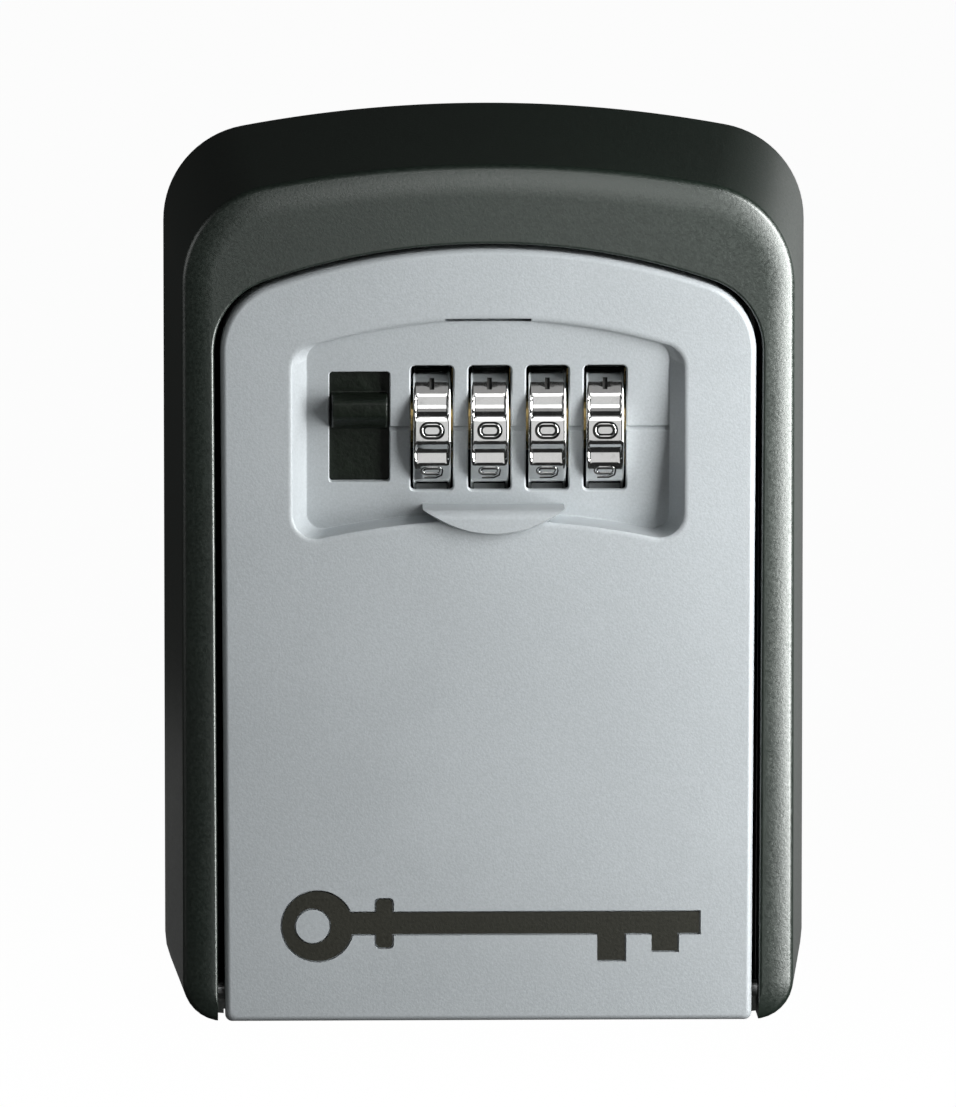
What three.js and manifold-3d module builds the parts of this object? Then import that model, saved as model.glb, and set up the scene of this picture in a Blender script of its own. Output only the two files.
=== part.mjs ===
// Wall-mounted key lock box with four number dials and a drop-down door.
// Millimetres, +Z up. The origin is the centre of the flat back face, the front looks along -Y.
// "Depth" is the distance in front of the wall, so depth d lies at y = -d.

import * as THREE from "three";
import { mergeVertices } from "three/addons/utils/BufferGeometryUtils.js";
import Module from "manifold-3d";

const wasm = await Module();
wasm.setup();

// ---- driving dimensions ----

// housing
const FRONT = 32.6;
const BACK_HALF_WIDTH = 41.5;
const BACK_HALF_HEIGHT = 59;
const BACK_TOP_ARC = 170;
const BACK_TOP_CORNER = 12.5;
const BACK_BOTTOM_CORNER = 9;
const FRONT_HALF_WIDTH = 39.2;
const FRONT_TOP = 55.7;
const FRONT_TOP_ARC = 152;
const FRONT_TOP_CORNER = 13;
const FRONT_BOTTOM_CORNER = 5;
const HOUSING_EDGE = 1.5;
const BACK_PLATE = 2.5;
const CAVITY_FLOOR = -54.8;
const FLOOR_DEPTH = 21.2;
const MOUNTING_HOLE_R = 2.75;
const MOUNTING_HOLE_X = 20;
const MOUNTING_HOLE_Z = 34;

// door opening and door
const OPENING = { halfWidth: 35.2, top: 45.6, topArc: 88, topCorner: 9.6 };
const DOOR = { halfWidth: 34.4, top: 44.95, topArc: 88, topCorner: 9.2 };
const DOOR_BOTTOM = -55.7;
const DOOR_BOTTOM_CORNER = 0.9;
const DOOR_TAPER = 0.985;
const DOOR_RIM_DEPTH = 24.6;
const DOOR_RIM = 3.1;
const DOOR_SKIN_REAR = 29.8;
const DOOR_EDGE = 0.8;
const DOOR_POCKET_BOTTOM = -49.2;

// hinge along the bottom of the door
const HINGE_DEPTH = 25.8;
const HINGE_Z = -52.8;
const HINGE_PIN_R = 1.1;
const HINGE_BORE_R = 1.17;
const HINGE_BARREL_R = 2.9;

// dial recess: its floor leans, shallow at the top and deep at the bottom
const RECESS_OUTER = { halfWidth: 25.3, top: 36.1, topArc: 80, topCorner: 3.4, sill: 9.5, sillArc: 101, corner: 3.3 };
const RECESS_INNER = { halfWidth: 23.4, top: 35.7, topArc: 80, topCorner: 2.4, sill: 10.1, sillArc: 101, corner: 2.2 };
const FLOOR_TOP_Z = 35.9;
const FLOOR_TOP_SINK = 0.8;
const FLOOR_SLOPE = 0.13;
const FLOOR_TILT = Math.atan(FLOOR_SLOPE);
const FLOOR_PLATE = 2;
const LIP_CENTRE_X = 0.7;
const LIP_HALF_WIDTH = 8.75;
const LIP_TOP = 11.1;
const LIP_BOTTOM = 8;
const LIP_REACH = 1.4;

// dials and their shaft
const DIAL_X = [-7.2, 0.2, 7.6, 15];
const DIAL_R = 9.9;
const DIAL_WIDTH = 4.85;
const DIAL_DEPTH = 22;
const DIAL_Z = 21.3;
const DIAL_BORE_R = 4.3;
const DIAL_DIGITS = 10;
const PAD_ANGLE = THREE.MathUtils.degToRad(20);
const SCALLOP_SINK = 0.75;
const SCALLOP_RIM = 0.55;
const DIGIT_HEIGHT = 2.3;
const DIGIT_WIDTH = 2.9;
const DIGIT_STROKE = 0.5;
const DIGIT_SINK = 0.3;
const SLOT_WIDTH = 5.45;
const SLOT_HEIGHT = 16.7;
const SHAFT_R = 1.5;
const SHAFT_LEFT = -14.45;
const SHAFT_RIGHT = 24.9;

// code sleeves inside the dials
const SLEEVE_HUB_R = 4.1;
const SLEEVE_BORE_R = 1.58;
const CODE_DISC_R = 6.4;
const CODE_DISC_THICKNESS = 1;
const CODE_DISC_GAP = 0.3;
const GATE_WIDTH = 2.6;
const GATE_BOTTOM_R = 4.4;
const KEY_TOP_R = 5.2;
const KEY_WIDTH = 1.2;
const KEY_LENGTH = 0.7;

// reset lever: a plate across the shaft, with a boss that meets the first sleeve inside its dial
const LEVER = {
  left: -12.1,
  right: -10.8,
  halfHeight: 3.6,
  padLeft: -15.6,
  padDepth: [7.4, 8.6],
  tipDepth: 25.4,
  bossEnd: -10.5,
  bossR: 3.4,
  travel: 0.9,
};

// release slider, its window and the latch
const SLIDER_X = -16.5;
const WINDOW_WIDTH = 7.7;
const WINDOW_HEIGHT = 14.7;
const WINDOW_Z = 21.5;
const SLIDER_TRAVEL = 4.5;
const SLIDER_PLATE = { halfWidth: 5.1, bottom: -8.2, top: 12.7, thickness: 1.3 };
const SLIDER_WEB = 0.9;
const LATCH_THICKNESS = 2;
const LATCH_BAR_BOTTOM = 36;
const LATCH_BAR_TOP = 39;
const BOLT_TOP = 48.5;
const BOLT_HALF_WIDTH = 6;
const TOOTH_WIDTH = 1.5;
const TOOTH_TIP = 30.4;
const ARM = { left: -22, right: -14.8, bottom: 12 };
const GUIDE_R = 1.2;
const GUIDES = [{ x: 0, z: 40.5 }, { x: 22, z: 31.4 }];
const KEEPER_DEPTH = [20.4, 25];
const KEEPER_TOP = 50.2;

// mechanism cover
const COVER = { halfWidth: 26.8, bottom: 0.5, top: 40.8, back: 10, front: 22, wall: 1.5, corner: 5 };
const COVER_RIBS = [[-14.4, -13.2], [22.6, 23.8]];
const SCREW_X = 28.9;
const SCREW_Z = [3.2, 34.4];
const POST_END = 22.3;

const STEEL = { color: 0xb9bdc0, roughness: 0.35, metalness: 1 };
const CHROME = { color: 0xdfe2e4, roughness: 0.12, metalness: 1 };
const BRASS = { color: 0xb8964a, roughness: 0.3, metalness: 1 };
const BLACK_PLASTIC = { color: 0x17181a, roughness: 0.5, metalness: 0 };
const HOUSING_PAINT = { color: 0x343a38, roughness: 0.45, metalness: 0.1 };
const DOOR_PAINT = { color: 0xa3a9ac, roughness: 0.4, metalness: 0.3 };
const EMBLEM_PAINT = { color: 0x26261b, roughness: 0.6, metalness: 0 };

// ---- solids ----

// A closed three.js geometry as a manifold solid.
function solid(geometry) {
  const bare = geometry.clone();
  bare.deleteAttribute("normal");
  bare.deleteAttribute("uv");
  const welded = mergeVertices(bare, 1e-4);
  const mesh = new wasm.Mesh({
    numProp: 3,
    vertProperties: new Float32Array(welded.attributes.position.array),
    triVerts: new Uint32Array(welded.index.array),
  });
  mesh.merge();
  return new wasm.Manifold(mesh);
}

// A manifold solid back as a three.js geometry.
function geometryOf(manifold) {
  const mesh = manifold.getMesh();
  const geometry = new THREE.BufferGeometry();
  geometry.setAttribute("position", new THREE.BufferAttribute(mesh.vertProperties, 3));
  geometry.setIndex(new THREE.BufferAttribute(mesh.triVerts, 1));
  geometry.computeVertexNormals();
  return geometry;
}

function named(name, manifold, look) {
  const mesh = new THREE.Mesh(geometryOf(manifold), new THREE.MeshStandardMaterial(look));
  mesh.name = name;
  return mesh;
}

function addAll(first, others) {
  return others.reduce((sum, next) => sum.add(next), first);
}

function cutAll(first, others) {
  return others.reduce((rest, next) => rest.subtract(next), first);
}

// An outline drawn as [x, z] pairs, extruded from one depth to another.
function prism(points, fromDepth, toDepth) {
  const shape = new THREE.Shape(points.map(([x, z]) => new THREE.Vector2(x, z)));
  const geometry = new THREE.ExtrudeGeometry(shape, { depth: toDepth - fromDepth, bevelEnabled: false });
  geometry.translate(0, 0, fromDepth);
  geometry.rotateX(Math.PI / 2);
  return solid(geometry);
}

// A section drawn as [depth, z] pairs, extruded along X.
function barAlongX(section, fromX, toX) {
  const shape = new THREE.Shape(section.map(([depth, z]) => new THREE.Vector2(-depth, z)));
  const geometry = new THREE.ExtrudeGeometry(shape, { depth: toX - fromX, bevelEnabled: false });
  geometry.translate(0, 0, fromX);
  geometry.applyMatrix4(new THREE.Matrix4().set(0, 0, 1, 0, 1, 0, 0, 0, 0, 1, 0, 0, 0, 0, 0, 1));
  return solid(geometry);
}

function block([x0, x1], [depth0, depth1], [z0, z1]) {
  const geometry = new THREE.BoxGeometry(x1 - x0, depth1 - depth0, z1 - z0);
  geometry.translate((x0 + x1) / 2, -(depth0 + depth1) / 2, (z0 + z1) / 2);
  return solid(geometry);
}

function rodAlongX(radius, fromX, toX, depth, z, sides = 24) {
  const geometry = new THREE.CylinderGeometry(radius, radius, toX - fromX, sides);
  geometry.rotateZ(Math.PI / 2);
  geometry.translate((fromX + toX) / 2, -depth, z);
  return solid(geometry);
}

function rodAlongY(radius, fromDepth, toDepth, x, z, sides = 20) {
  const geometry = new THREE.CylinderGeometry(radius, radius, toDepth - fromDepth, sides);
  geometry.translate(x, -(fromDepth + toDepth) / 2, z);
  return solid(geometry);
}

// A closed skin through outlines of equal length, each a list of [x, depth, z], from the rear to the front.
function loft(rings) {
  const count = rings[0].length;
  const positions = rings.flat().flatMap(([x, depth, z]) => [x, -depth, z]);
  const indices = [];
  for (let level = 0; level < rings.length - 1; level += 1) {
    for (let i = 0; i < count; i += 1) {
      const rear = level * count + i;
      const rearNext = level * count + ((i + 1) % count);
      indices.push(rear, rearNext, rearNext + count);
      indices.push(rear, rearNext + count, rear + count);
    }
  }
  const last = (rings.length - 1) * count;
  const flat = (ring) => ring.map(([x, , z]) => new THREE.Vector2(x, z));
  for (const [a, b, c] of THREE.ShapeUtils.triangulateShape(flat(rings[0]), [])) {
    indices.push(c, b, a);
  }
  for (const [a, b, c] of THREE.ShapeUtils.triangulateShape(flat(rings.at(-1)), [])) {
    indices.push(last + a, last + b, last + c);
  }
  const geometry = new THREE.BufferGeometry();
  geometry.setAttribute("position", new THREE.Float32BufferAttribute(positions, 3));
  geometry.setIndex(indices);
  return solid(geometry);
}

// ---- outlines ----

function arcPoints(centreX, centreZ, radius, from, to, steps) {
  return Array.from({ length: steps + 1 }, (_, i) => {
    const angle = from + ((to - from) * i) / steps;
    return [centreX + radius * Math.cos(angle), centreZ + radius * Math.sin(angle)];
  });
}

function mirrored(points) {
  return points.map(([x, z]) => [-x, z]).reverse();
}

// Corner between an upright side and a shallow top arc, and the angle at which the two arcs meet.
function topCorner({ halfWidth, top, topArc, topCorner: radius }) {
  const reach = halfWidth - radius;
  const rise = Math.sqrt((topArc - radius) ** 2 - reach ** 2);
  return { x: reach, z: top - topArc + rise, meets: Math.atan2(rise, reach) };
}

// Upright outline with an arched top and rounded corners, anticlockwise from the bottom right.
function archedOutline(spec, bottom, bottomCorner) {
  const corner = topCorner(spec);
  const right = [
    ...arcPoints(spec.halfWidth - bottomCorner, bottom + bottomCorner, bottomCorner, -Math.PI / 2, 0, 5),
    ...arcPoints(corner.x, corner.z, spec.topCorner, 0, corner.meets, 7),
  ];
  const arch = arcPoints(0, spec.top - spec.topArc, spec.topArc, corner.meets, Math.PI - corner.meets, 12);
  return [...right, ...arch.slice(1, -1), ...mirrored(right)];
}

// Recess outline: arched top, and a sill that arches upward in the middle.
function recessOutline(spec) {
  const corner = topCorner(spec);
  const reach = spec.halfWidth - spec.corner;
  const rise = Math.sqrt((spec.sillArc + spec.corner) ** 2 - reach ** 2);
  const lean = Math.asin(reach / (spec.sillArc + spec.corner));
  const sillCentre = spec.sill - spec.sillArc;
  const right = [
    ...arcPoints(reach, sillCentre + rise, spec.corner, -Math.PI / 2 - lean, 0, 6),
    ...arcPoints(corner.x, corner.z, spec.topCorner, 0, corner.meets, 5),
  ];
  const arch = arcPoints(0, spec.top - spec.topArc, spec.topArc, corner.meets, Math.PI - corner.meets, 10);
  const sill = arcPoints(0, sillCentre, spec.sillArc, Math.PI / 2 + lean, Math.PI / 2 - lean, 10);
  return [...right, ...arch.slice(1, -1), ...mirrored(right), ...sill.slice(1, -1)];
}

function inset(spec, amount) {
  return {
    halfWidth: spec.halfWidth - amount,
    top: spec.top - amount,
    topArc: spec.topArc - amount,
    topCorner: Math.max(spec.topCorner - amount, 0.5),
  };
}

// Sides that draw in a little towards the bottom.
function tapered(points, top) {
  return points.map(([x, z]) => {
    const down = THREE.MathUtils.clamp((top - z) / (top - DOOR_BOTTOM), 0, 1);
    return [x * THREE.MathUtils.lerp(1, DOOR_TAPER, down), z];
  });
}

function atDepth(points, depth) {
  return points.map(([x, z]) => [x, depth, z]);
}

function roundedRectangle(halfWidth, halfHeight, radius, centreX = 0, centreZ = 0) {
  const quarter = Math.PI / 2;
  const corners = [[1, -1, -quarter], [1, 1, 0], [-1, 1, quarter], [-1, -1, 2 * quarter]];
  return corners.flatMap(([sideX, sideZ, from]) => arcPoints(
    centreX + sideX * (halfWidth - radius),
    centreZ + sideZ * (halfHeight - radius),
    radius,
    from,
    from + quarter,
    3,
  ));
}

// Depth of the leaning recess floor at a height.
function floorDepth(z) {
  return FRONT - FLOOR_TOP_SINK - (FLOOR_TOP_Z - z) * FLOOR_SLOPE;
}

// A solid drawn level (its depth 0 on the floor, its z 0 at the window centre) laid onto the leaning floor.
function ontoFloor(manifold, z = WINDOW_Z) {
  const leaned = manifold.rotate([THREE.MathUtils.radToDeg(FLOOR_TILT), 0, 0]);
  return leaned.translate([0, -floorDepth(z), z]);
}

// ---- housing ----

function housingRing(depth, edge) {
  const t = depth / FRONT;
  const mix = (back, front) => THREE.MathUtils.lerp(back, front, t);
  const spec = {
    halfWidth: mix(BACK_HALF_WIDTH, FRONT_HALF_WIDTH),
    top: mix(BACK_HALF_HEIGHT, FRONT_TOP),
    topArc: mix(BACK_TOP_ARC, FRONT_TOP_ARC),
    topCorner: mix(BACK_TOP_CORNER, FRONT_TOP_CORNER),
  };
  const bottom = mix(-BACK_HALF_HEIGHT, -FRONT_TOP) + edge;
  const corner = mix(BACK_BOTTOM_CORNER, FRONT_BOTTOM_CORNER) - edge;
  return atDepth(archedOutline(inset(spec, edge), bottom, corner), depth);
}

function housingBlock() {
  const rounding = [0, Math.PI / 6, Math.PI / 3, Math.PI / 2].map((angle) => housingRing(
    FRONT - HOUSING_EDGE * (1 - Math.sin(angle)),
    HOUSING_EDGE * (1 - Math.cos(angle)),
  ));
  return loft([housingRing(0, 0), ...rounding]);
}

function bodyShell() {
  const opening = prism(
    tapered(archedOutline(OPENING, CAVITY_FLOOR, 2), OPENING.top),
    BACK_PLATE,
    FRONT + 2,
  );
  const below = prism(
    tapered(archedOutline(OPENING, -2 * BACK_HALF_HEIGHT, 1), OPENING.top),
    FLOOR_DEPTH,
    FRONT + 2,
  );
  const underside = barAlongX([[3, -60], [FLOOR_DEPTH + 1, -60], [FLOOR_DEPTH + 1, -56.1], [3, -58.7]], -34, 34);
  const keeper = block([-BOLT_HALF_WIDTH - 1, BOLT_HALF_WIDTH + 1], KEEPER_DEPTH, [OPENING.top - 3, KEEPER_TOP]);
  const pinBore = rodAlongX(HINGE_PIN_R + 0.05, -37.2, BACK_HALF_WIDTH, HINGE_DEPTH, HINGE_Z);
  const holes = [-1, 1].flatMap((sideX) => [-1, 1].map((sideZ) => rodAlongY(
    MOUNTING_HOLE_R,
    -1,
    BACK_PLATE + 1,
    sideX * MOUNTING_HOLE_X,
    sideZ * MOUNTING_HOLE_Z,
  )));
  const shell = cutAll(housingBlock(), [opening, below, underside, keeper, pinBore, ...holes]);
  return named("body_shell", shell, HOUSING_PAINT);
}

function hingePin() {
  const pin = rodAlongX(HINGE_PIN_R, -37, 38.4, HINGE_DEPTH, HINGE_Z);
  return named("hinge_pin", pin, STEEL);
}

// ---- door ----

function doorRing(depth, edge) {
  const outline = archedOutline(inset(DOOR, edge), DOOR_BOTTOM + edge, DOOR_BOTTOM_CORNER);
  return atDepth(tapered(outline, DOOR.top), depth);
}

function doorBlock() {
  const rounding = [0, Math.PI / 4, Math.PI / 2].map((angle) => doorRing(
    FRONT - DOOR_EDGE * (1 - Math.sin(angle)),
    DOOR_EDGE * (1 - Math.cos(angle)),
  ));
  return loft([doorRing(DOOR_RIM_DEPTH, 0), ...rounding]);
}

// Hollow behind the door skin, stepped round the tray that forms the recess.
function doorHollow() {
  const trayTop = FLOOR_TOP_Z;
  const trayBottom = 4.6;
  const section = [
    [DOOR_RIM_DEPTH - 1, DOOR.top - DOOR_RIM],
    [DOOR_SKIN_REAR, DOOR.top - DOOR_RIM],
    [floorDepth(trayTop) - FLOOR_PLATE, trayTop],
    [floorDepth(trayBottom) - FLOOR_PLATE, trayBottom],
    [DOOR_SKIN_REAR, trayBottom - 1.4],
    [DOOR_SKIN_REAR, DOOR_POCKET_BOTTOM],
    [DOOR_RIM_DEPTH - 1, DOOR_POCKET_BOTTOM],
  ];
  const outline = tapered(archedOutline(inset(DOOR, DOOR_RIM), DOOR_POCKET_BOTTOM, 2), DOOR.top);
  return barAlongX(section, -DOOR.halfWidth, DOOR.halfWidth).intersect(prism(outline, 20, FRONT));
}

function recessCut() {
  const rear = recessOutline(RECESS_INNER).map(([x, z]) => [x, floorDepth(z), z]);
  const outer = recessOutline(RECESS_OUTER);
  return loft([rear, atDepth(outer, FRONT), atDepth(outer, FRONT + 2)]);
}

function windowCut() {
  const window = prism(roundedRectangle(WINDOW_WIDTH / 2, WINDOW_HEIGHT / 2, 0.4, SLIDER_X), -4, 3);
  const reach = SLIDER_PLATE.top + 0.5;
  const runway = block(
    [SLIDER_X - SLIDER_PLATE.halfWidth - 0.3, SLIDER_X + SLIDER_PLATE.halfWidth + 0.3],
    [-4, -SLIDER_WEB],
    [-reach, reach],
  );
  return ontoFloor(window.add(runway));
}

function indexGroove() {
  const groove = block([-RECESS_INNER.halfWidth, RECESS_INNER.halfWidth], [-0.4, 2], [-0.35, 0.35]);
  return ontoFloor(groove, DIAL_Z);
}

function lipRing(depth, shrink) {
  const rise = LIP_TOP - LIP_BOTTOM - shrink;
  const half = LIP_HALF_WIDTH - 1.5 * shrink;
  const radius = (half ** 2 + rise ** 2) / (2 * rise);
  const spread = Math.asin(half / radius);
  const top = LIP_TOP - shrink / 2;
  const arc = arcPoints(
    LIP_CENTRE_X,
    top - rise + radius,
    radius,
    -Math.PI / 2 - spread,
    -Math.PI / 2 + spread,
    14,
  );
  return atDepth(arc, depth);
}

// Finger pull under the dials, a bullnose with a curved underside.
function fingerPull() {
  const nose = [0, Math.PI / 6, Math.PI / 3, 0.45 * Math.PI].map((angle) => lipRing(
    FRONT + LIP_REACH * Math.sin(angle) / Math.sin(0.45 * Math.PI),
    1.2 * (1 - Math.cos(angle)),
  ));
  return loft([lipRing(floorDepth(LIP_TOP) - 1, 0), ...nose]);
}

function keyOutlines(grow) {
  const bow = arcPoints(-22, -43.2, 4.6 + grow, 0, 2 * Math.PI, 28).slice(1);
  const blade = [
    [-20, -44.3 - grow],
    [14, -44.3 - grow],
    [14, -47.8 - grow],
    [17.6 + grow, -47.8 - grow],
    [17.6 + grow, -44.3 - grow],
    [21, -44.3 - grow],
    [21, -46.6 - grow],
    [24.4 + grow, -46.6 - grow],
    [24.4 + grow, -44.3 - grow],
    [27.2 + grow, -44.3 - grow],
    [27.2 + grow, -41.4 + grow],
    [-20, -41.4 + grow],
  ];
  const collar = roundedRectangle(1.1 + grow, 3.2 + grow, 0.6, -13.4, -42.85);
  return [bow, blade, collar];
}

function keySymbol(grow, fromDepth, toDepth) {
  const parts = keyOutlines(grow).map((outline) => prism(outline, fromDepth, toDepth));
  const hole = rodAlongY(2.3 - grow, fromDepth - 1, toDepth + 1, -22.6, -43.2);
  return addAll(parts[0], parts.slice(1)).subtract(hole);
}

function doorPanel() {
  const barrel = rodAlongX(HINGE_BARREL_R, -33.6, 33.6, HINGE_DEPTH, HINGE_Z, 28);
  const posts = SCREW_Z.flatMap((z) => [-SCREW_X, SCREW_X].map((x) => rodAlongY(
    2.3,
    POST_END,
    DOOR_SKIN_REAR + 0.5,
    x,
    z,
  )));
  const guides = GUIDES.map(({ x, z }) => rodAlongY(GUIDE_R, COVER.front - 2.4, DOOR_SKIN_REAR + 0.5, x, z));
  const pilots = SCREW_Z.flatMap((z) => [-SCREW_X, SCREW_X].map((x) => rodAlongY(1.15, POST_END - 1, 28.6, x, z)));
  const slots = DIAL_X.map((x) => prism(
    roundedRectangle(SLOT_WIDTH / 2, SLOT_HEIGHT / 2, 0.6, x, DIAL_Z),
    20,
    FRONT + 2,
  ));
  const reliefs = DIAL_X.map((x) => rodAlongX(
    DIAL_R + 0.3,
    x - SLOT_WIDTH / 2,
    x + SLOT_WIDTH / 2,
    DIAL_DEPTH,
    DIAL_Z,
    48,
  ));
  const discRelief = rodAlongX(CODE_DISC_R + 0.35, -11.5, 20.5, DIAL_DEPTH, DIAL_Z, 36);
  const slit = block([-5.5, 5.5], [floorDepth(35) - 1, FRONT + 2], [35.1, 35.9]);
  const skin = addAll(doorBlock().subtract(doorHollow()), [...posts, ...guides, barrel]);
  const cut = cutAll(skin, [
    recessCut(),
    windowCut(),
    indexGroove(),
    slit,
    ...slots,
    ...reliefs,
    discRelief,
    ...pilots,
    keySymbol(0.15, FRONT - 0.5, FRONT + 1),
    rodAlongX(HINGE_BORE_R, -40, 40, HINGE_DEPTH, HINGE_Z),
  ]);
  return named("door_panel", cut.add(fingerPull()), DOOR_PAINT);
}

function keyEmblem() {
  return named("key_emblem", keySymbol(-0.05, FRONT - 0.47, FRONT - 0.12), EMBLEM_PAINT);
}

// ---- mechanism cover ----

function coverFlange(x, z) {
  const inner = Math.sign(x) * (COVER.halfWidth - 1);
  const outer = Math.sign(x) * (SCREW_X + 2.6);
  const tab = block(
    [Math.min(inner, outer), Math.max(inner, outer)],
    [COVER.front - 1.8, COVER.front],
    [z - 2.7, z + 2.7],
  );
  return tab.subtract(rodAlongY(1.3, COVER.front - 3, COVER.front + 1, x, z));
}

function mechanismCover() {
  const { halfWidth, bottom, top, back, front, wall, corner } = COVER;
  const height = top - bottom;
  const middle = (top + bottom) / 2;
  const box = prism(roundedRectangle(halfWidth, height / 2, corner, 0, middle), back, front);
  const hollow = prism(
    roundedRectangle(halfWidth - wall, height / 2 - wall, corner - wall, 0, middle),
    back + wall,
    front + 1,
  );
  const ribs = COVER_RIBS.map((span) => block(span, [back + 1, DIAL_DEPTH + 2.8], [DIAL_Z - 3, DIAL_Z + 2.7]));
  const ledge = block([-10.5, 18.5], [back + 1, 16], [7.7, 9.3]);
  const bores = rodAlongX(SHAFT_R + 0.06, SHAFT_LEFT - 1, SHAFT_RIGHT + 1, DIAL_DEPTH, DIAL_Z);
  const boltNotch = block([-BOLT_HALF_WIDTH - 0.5, BOLT_HALF_WIDTH + 0.5], [19, front + 1], [top - 3, top + 1]);
  const leverSlot = block(
    [LEVER.left - 0.4, LEVER.right + LEVER.travel + 0.4],
    [back - 1, back + wall + 0.5],
    [DIAL_Z - LEVER.halfHeight - 0.7, DIAL_Z + LEVER.halfHeight + 0.7],
  );
  const flanges = SCREW_Z.flatMap((z) => [-SCREW_X, SCREW_X].map((x) => coverFlange(x, z)));
  const shell = addAll(box.subtract(hollow), [...ribs, ledge, ...flanges]);
  return named("mechanism_cover", cutAll(shell, [bores, boltNotch, leverSlot]), BLACK_PLASTIC);
}

// Pan-head screw with a cross recess, driven from the rear of the door.
function coverScrew(name, x, z) {
  const head = rodAlongY(2, COVER.front - 3.4, COVER.front - 2.1, x, z);
  const neck = rodAlongY(1.05, COVER.front - 2.2, 28, x, z, 16);
  const bite = [COVER.front - 4, COVER.front - 2.9];
  const cross = [
    block([x - 1.2, x + 1.2], bite, [z - 0.25, z + 0.25]),
    block([x - 0.25, x + 0.25], bite, [z - 1.2, z + 1.2]),
  ];
  return named(name, cutAll(head.add(neck), cross), STEEL);
}

// ---- dials, sleeves and shaft ----

function radial(angle, radius) {
  return [DIAL_DEPTH + radius * Math.cos(angle), DIAL_Z + radius * Math.sin(angle)];
}

// Strokes of a digit on a two-by-three grid, as centre and half size in digit heights.
function digitStrokes(digit) {
  const bars = {
    top: [0, 1, 1, 0],
    middle: [0, 0, 1, 0],
    bottom: [0, -1, 1, 0],
    upperLeft: [-1, 0.5, 0, 0.5],
    upperRight: [1, 0.5, 0, 0.5],
    lowerLeft: [-1, -0.5, 0, 0.5],
    lowerRight: [1, -0.5, 0, 0.5],
    stem: [0, 0, 0, 1],
  };
  const drawn = [
    ["top", "bottom", "upperLeft", "upperRight", "lowerLeft", "lowerRight"],
    ["stem"],
    ["top", "upperRight", "middle", "lowerLeft", "bottom"],
    ["top", "upperRight", "middle", "lowerRight", "bottom"],
    ["upperLeft", "middle", "upperRight", "lowerRight"],
    ["top", "upperLeft", "middle", "lowerRight", "bottom"],
    ["top", "upperLeft", "middle", "lowerLeft", "lowerRight", "bottom"],
    ["top", "upperRight", "lowerRight"],
    ["top", "middle", "bottom", "upperLeft", "upperRight", "lowerLeft", "lowerRight"],
    ["top", "middle", "bottom", "upperLeft", "upperRight", "lowerRight"],
  ];
  return drawn[digit].map((name) => bars[name]);
}

// Engraving of one digit at the front of the dial, before it is turned to its place.
function digitCut(digit) {
  const halfStroke = DIGIT_STROKE / 2;
  const halfWidth = DIGIT_WIDTH / 2 - halfStroke;
  const halfHeight = DIGIT_HEIGHT / 2 - halfStroke;
  const padFace = DIAL_R * Math.cos(PAD_ANGLE / 2);
  const strokes = digitStrokes(digit).map(([x, z, spanX, spanZ]) => block(
    [(x - spanX) * halfWidth - halfStroke, (x + spanX) * halfWidth + halfStroke],
    [padFace - DIGIT_SINK, padFace + 1],
    [(z - spanZ) * halfHeight - halfStroke, (z + spanZ) * halfHeight + halfStroke],
  ));
  return addAll(strokes[0], strokes.slice(1));
}

function dialSection() {
  const pitch = (2 * Math.PI) / DIAL_DIGITS;
  return Array.from({ length: DIAL_DIGITS }, (_, i) => [
    radial(i * pitch - PAD_ANGLE / 2, DIAL_R),
    radial(i * pitch + PAD_ANGLE / 2, DIAL_R),
    radial((i + 0.5) * pitch, DIAL_R - 0.15),
  ]).flat();
}

// Finger scallop between two digits, leaving a thin rim on either side.
function scallopCut(x, index) {
  const pitch = (2 * Math.PI) / DIAL_DIGITS;
  const halfSpan = (pitch - PAD_ANGLE) / 2;
  const chord = DIAL_R * Math.sin(halfSpan);
  const radius = (chord ** 2 + SCALLOP_SINK ** 2) / (2 * SCALLOP_SINK) + 0.4;
  const centre = radial((index + 0.5) * pitch, DIAL_R * Math.cos(halfSpan) - SCALLOP_SINK + radius);
  const reach = DIAL_WIDTH / 2 - SCALLOP_RIM;
  return rodAlongX(radius, x - reach, x + reach, centre[0], centre[1], 16);
}

function dial(name, x) {
  const ring = barAlongX(dialSection(), x - DIAL_WIDTH / 2, x + DIAL_WIDTH / 2);
  const bore = rodAlongX(DIAL_BORE_R, x - DIAL_WIDTH, x + DIAL_WIDTH, DIAL_DEPTH, DIAL_Z);
  const keyway = block(
    [x + DIAL_WIDTH / 2 - KEY_LENGTH - 0.4, x + DIAL_WIDTH / 2 + 1],
    [DIAL_DEPTH, DIAL_DEPTH + KEY_TOP_R + 0.2],
    [DIAL_Z - KEY_WIDTH / 2 - 0.15, DIAL_Z + KEY_WIDTH / 2 + 0.15],
  );
  const scallops = Array.from({ length: DIAL_DIGITS }, (_, i) => scallopCut(x, i));
  const digits = Array.from({ length: DIAL_DIGITS }, (_, i) => digitCut(i)
    .rotate([(-360 / DIAL_DIGITS) * i, 0, 0])
    .translate([x, -DIAL_DEPTH, DIAL_Z]));
  return named(name, cutAll(ring, [bore, keyway, ...scallops, ...digits]), CHROME);
}

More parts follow.
